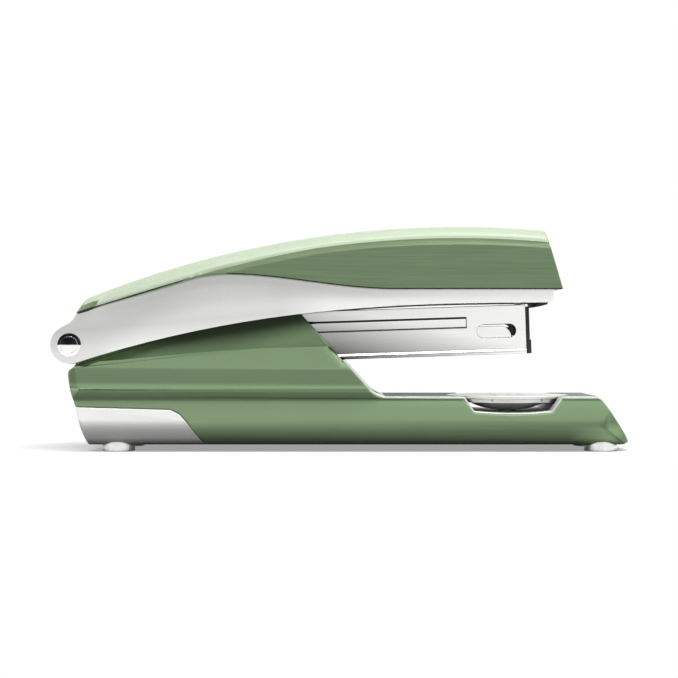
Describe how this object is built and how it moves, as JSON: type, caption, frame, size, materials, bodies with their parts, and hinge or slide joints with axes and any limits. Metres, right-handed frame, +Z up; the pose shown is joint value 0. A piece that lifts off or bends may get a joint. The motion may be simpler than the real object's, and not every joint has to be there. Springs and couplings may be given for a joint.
{
  "type": "desk stapler",
  "caption": "Desk stapler: hinged lever arm with a covered top and a staple magazine over a hollow base with a turning anvil disc.",
  "frame": {"origin": "on the table under the middle of the overall length and width", "axes": "+X to the front, where the staple leaves; +Z up"},
  "size_m": [0.1568, 0.037, 0.061],
  "materials": {
    "green_base": "metallic green lacquer",
    "green_cover": "brushed sheet under clear green lacquer",
    "silver_arm": "satin",
    "silver_trim": "satin",
    "chrome": "polished",
    "pale_steel": "bright plated",
    "dark_steel": "blackened",
    "spring_steel": "tempered",
    "staple_wire": "galvanised",
    "dark_plastic": "moulded",
    "foot_white": "pearl white"
  },
  "bodies": {
    "base": {"base_shell": "green_base", "heel_trim": "silver_trim", "bottom_plate": "dark_plastic", "bottom_screws": "spring_steel", "rear_feet": "foot_white", "front_feet": "foot_white", "base_chassis": "pale_steel", "deck_plate": "pale_steel", "hinge_rivet": "chrome", "arm_spacers": "dark_plastic", "magazine_washers": "dark_plastic", "return_spring": "spring_steel", "return_spring_rivets": "spring_steel"},
    "anvil": {"anvil_plate": "pale_steel", "anvil_hub": "pale_steel", "anvil_post": "spring_steel", "anvil_retainer": "spring_steel"},
    "magazine": {"magazine_case": "chrome", "staple_track": "pale_steel", "nose_plate": "dark_steel", "hinge_block": "dark_plastic", "guide_rod": "spring_steel", "staple_strip": "staple_wire", "pusher_spring": "spring_steel"},
    "pusher": {"staple_pusher": "dark_plastic"},
    "arm": {"lever_arm": "silver_arm", "top_cover": "green_cover", "cover_screws": "spring_steel", "driver_blade": "spring_steel", "driver_holder": "dark_plastic", "driver_rivets": "pale_steel", "arm_spring": "spring_steel", "arm_spring_rivets": "pale_steel"}
  },
  "joints": [
    {"name": "magazine_swing", "type": "hinge", "parent": "base", "child": "magazine", "pos_m": [-0.0732, 0, 0.0287], "axis": [0, 1, 0], "range_deg": [-85, 5.1], "stiffness_Nm_per_rad": 2, "springref_deg": -4.01, "deforming": ["return_spring"]},
    {"name": "lever_press", "type": "hinge", "parent": "magazine", "child": "arm", "pos_m": [-0.0732, 0, 0.0287], "axis": [0, 1, 0], "range_deg": [-55, 3.8], "stiffness_Nm_per_rad": 2, "springref_deg": -2.58, "deforming": ["arm_spring"]},
    {"name": "pusher_slide", "type": "slide", "parent": "magazine", "child": "pusher", "axis": [0.9995, 0, 0.0326], "range_m": [-0.036, 0], "stiffness_N_per_m": 60, "springref_m": 0.03, "deforming": ["pusher_spring"]},
    {"name": "anvil_turn", "type": "hinge", "parent": "base", "child": "anvil", "pos_m": [0.0463, 0, 0.0141], "axis": [0, 0, 1], "range_deg": [0, 180]}
  ]
}
